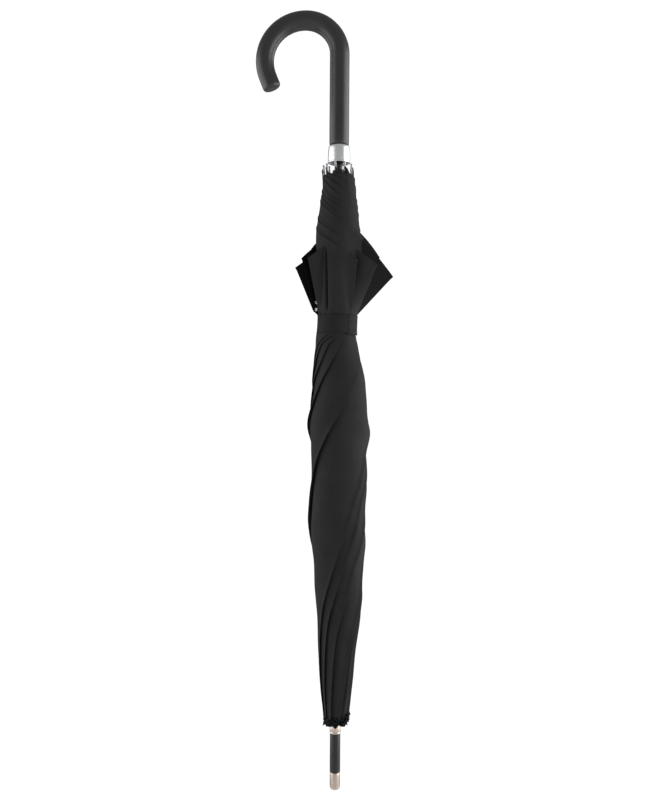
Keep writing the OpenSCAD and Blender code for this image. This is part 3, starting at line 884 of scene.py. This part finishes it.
def build_spread(i):
    """Panel i + 1 as seen when open, in two pieces that meet at the rivets. Folded, it is a strip in the
    bundle."""
    made = []
    # when open, the cloth starts just outside the crown
    open_start = crown_r / math.cos(math.pi / PANELS) + 0.6 * MM
    inner_z = hinge_z + (open_start - hinge_r) / math.sin(math.radians(far_end("canopy_open")))
    for part, low, high, rows, cols, scalloped in (("upper", inner_z, rivet_z, 34, 20, False),
                                                   ("lower", rivet_z - LAP, hem_z, 40, 26, True)):
        bodies = (f"rib_{i + 1}" if part == "upper" else f"rib_rod_{i + 1}", f"canopy_{part}_{i + 1}")
        p = spread_grid(i, low, high, rows, cols, scalloped)
        if part == "lower":
            p = shell_points(p, 2 * LAP_STEP)[1]
        mid_z = (low + high) / 2
        start, end = (around(rib_bearing(n), rib_line_radius(mid_z) + 1.3 * MM, mid_z) for n in (i, i + 1))
        front, back = (rest_from_open(g.reshape(-1, 3), *bodies, start, end).reshape(g.shape)
                       for g in shell_points(p, CLOTH_T))
        quads = (rows - 1, cols - 1)
        # the underside takes the darker inside cloth: the cloth's inside face, darkened as painted shade
        piece = shell_mesh(f"spread_{part}_{i + 1}", front, back, metric_uv(p),
                           (np.zeros(quads), np.ones(quads)))
        finish_piece(piece, CLOTH, None, [f"canopy_{part}_{i + 1}"])
        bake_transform(piece)
        made.append(piece)
    return made


# ---------------------------------------------------------------- the tie strap and its studs

def strap_surface(bearing, z):
    """The bundle's outer radius under the strap."""
    return body_radius(z, bearing) * 0.985 + 0.35 * MM


def build_strap():
    """The strap's band, and its tab, which laps over the band at the right."""
    z0, z1 = strap_lo[2] - 0.5 * MM, strap_hi[2]
    # name, bearings of the two ends, lift in mm, lower edge, upper edge, columns
    parts = (("tie_strap_band", -178, 182, 0.35, z0, z1, 220),
             ("tie_strap_tab", 26, 100, 0.9, z0 - 2.0 * MM, z1 - 0.5 * MM, 60))
    for name, b0, b1, lift, low, high, cols in parts:
        is_tab = name == "tie_strap_tab"
        t = np.linspace(0, 1, cols)[None, :]
        v = np.linspace(0, 1, 22)[:, None]
        bearing = b0 + (b1 - b0) * t
        nose = np.clip(t / 0.09, 0, 1) if is_tab else np.ones_like(t)
        half = (high - low) / 2 * (0.62 + 0.38 * np.sqrt(1 - (1 - nose)**2))
        z = (low + high) / 2 + (2 * v - 1) * half
        off_middle = np.abs(2 * v - 1)
        hemmed = 0.28 * np.exp(-((off_middle - 0.93) / 0.05)**2)
        stitch = -0.22 * np.exp(-((off_middle - 0.80) / 0.03)**2) * (np.sin(bearing * 2.2) > -0.6)
        wrinkle = 0.14 * ripples(bearing, z, 21, 7, 20)
        rise = smooth(t / 0.12) if is_tab else 1
        radius = strap_surface(bearing, z) + (lift * rise + hemmed + stitch + wrinkle) * MM
        p = around(bearing, radius, z)
        front, back = shell_points(p, 0.55 * MM)
        piece = shell_mesh(name, front, back, metric_uv(p))
        finish_piece(piece, BINDING, "canopy_lower_6", () if is_tab else ["tie_strap"])
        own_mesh(piece)


def build_studs(wings):
    """Two press studs on the folded hem at the left, each a domed ring with a ball in it. They sit on the
    nearest cloth of the given wings."""
    cloth = np.concatenate([w.reshape(-1, 3) for w in wings])
    x = (studs_lo[0] + studs_hi[0]) / 2 + 1.5 * MM
    r, height = 2.2 * MM, 1.4 * MM
    outline = ((0, 0.2), (0.30, 0.55), (0.36, 0.25), (0.62, 0.2), (0.80, 0.62), (0.95, 0.45), (1.0, 0.1),
               (0.9, 0.0), (0, 0.0))
    profile = rounded([(a * r, b * height) for a, b in outline], 0.12 * MM)
    outward = Vector((-0.55, -0.8, 0.1)).normalized()
    for k, z in enumerate((studs_lo[2] + r, studs_hi[2] - r)):
        stud = lathe(f"press_stud_{k + 1}", profile, 36)
        near = cloth[(abs(cloth[:, 0] - x) < 2 * MM) & (abs(cloth[:, 2] - z) < 4 * MM)]
        y = near[:, 1].min() - 0.3 * MM
        place = Matrix.Translation((x, y, z)) @ outward.to_track_quat("Z", "Y").to_matrix().to_4x4()
        stud.data.transform(place)
        finish_piece(stud, STUD, "canopy_lower_4", ["strap_studs"] if k == 0 else ())
        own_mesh(stud)


# ---------------------------------------------------------------- put it together

build_handle()
build_cup()
build_end_cap()
build_tube()
build_ring()
build_frill()
for number in range(PANELS):
    build_rib(number)
grids = []
for number in range(PANELS):
    panel, grid = build_furled(number)
    spread = build_spread(number)
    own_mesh(panel)
    grids.append(grid)
build_strap()
build_studs(grids[:3])

# the CAD nodes that show as they are
NODE_LOOKS = {"shaft_tube": LACQUER, "crown_notch": NYLON, "runner_sleeve": NYLON}
NODE_LOOKS.update(dict.fromkeys(("crown_pins", "runner_pins", "runner_stop_pin", "top_catch", "bottom_catch",
                                 "handle_pin"), PINS))
NODE_LOOKS.update({f"stretcher_{n + 1}": PLATED for n in range(PANELS)})
for name, material in NODE_LOOKS.items():
    o = frame["nodes"][name]
    o.data.materials.clear()
    o.data.materials.append(material)


# ---------------------------------------------------------------- floor, light and camera

def build_floor():
    size, z = 1.3, -0.62
    rings = [level_ring(r, z, 96) for r in np.linspace(0.25, 1, 10)**1.6 * size]
    floor = rings_mesh("studio_floor", [np.array([[0, 0, z]]), *rings])
    m = grained("pale_floor", (0.86, 0.86, 0.86), (0.84, 0.84, 0.845), 0.7, 0.05, 0.0, 40.0, 0.1 * MM)
    floor.data.materials.append(m)


def area_light(name, place, target, size, power):
    data = bpy.data.lights.new(name, "AREA")
    data.shape, data.size, data.size_y = "RECTANGLE", *size
    data.energy = power
    lamp = bpy.data.objects.new(name, data)
    lamp.visible_camera = False
    bpy.context.scene.collection.objects.link(lamp)
    lamp.location = place
    lamp.rotation_euler = (Vector(target) - Vector(place)).to_track_quat("-Z", "Y").to_euler()


def build_world():
    """A white studio: the camera sees plain white, and the light is dimmer from behind than from the front
    and below."""
    world = bpy.data.worlds.new("studio")
    bpy.context.scene.world = world
    world.use_nodes = True
    tree = world.node_tree
    back = tree.nodes["Background"]
    direction = node(tree, "ShaderNodeSeparateXYZ", {"Vector": coords(tree, "Generated")})
    below = node(tree, "ShaderNodeMapRange",
                 {"Value": direction.outputs["Z"], "From Min": 0.02, "From Max": -0.30,
                  "To Min": 0.40, "To Max": 0.62}, interpolation_type="SMOOTHSTEP")
    facing = node(tree, "ShaderNodeMapRange",
                  {"Value": direction.outputs["Y"], "From Min": -0.6, "From Max": 0.2,
                   "To Min": below.outputs["Result"], "To Max": 0.30}, interpolation_type="SMOOTHSTEP")
    seen = node(tree, "ShaderNodeLightPath").outputs["Is Camera Ray"]
    mixed = node(tree, "ShaderNodeMix", {"Factor": seen, "A": facing.outputs["Result"], "B": 1.05},
                 data_type="FLOAT")
    tree.links.new(mixed.outputs["Result"], back.inputs["Strength"])
    back.inputs["Color"].default_value = (1, 1, 1, 1)


build_floor()
build_world()
middle, panel_size = (0, 0, 0.45), (1.9, 1.7)
area_light("panel_right", (1.25, 0.05, 0.5), middle, panel_size, 25)
area_light("panel_left", (-1.25, 0.0, 0.5), middle, panel_size, 14)

# the photo's camera: level, with the umbrella upright in the picture but for a slight roll
camera_data = bpy.data.cameras.new("camera")
camera_data.sensor_width, camera_data.sensor_fit = 36, "AUTO"
camera_data.lens = 43.3
camera = bpy.data.objects.new("camera", camera_data)
bpy.context.scene.collection.objects.link(camera)
camera.location = (-0.0039, -1.1, 0.446)
camera.rotation_euler = (math.radians(90), math.radians(-0.39), 0)
bpy.context.scene.camera = camera
bpy.context.scene.view_settings.view_transform = "Standard"
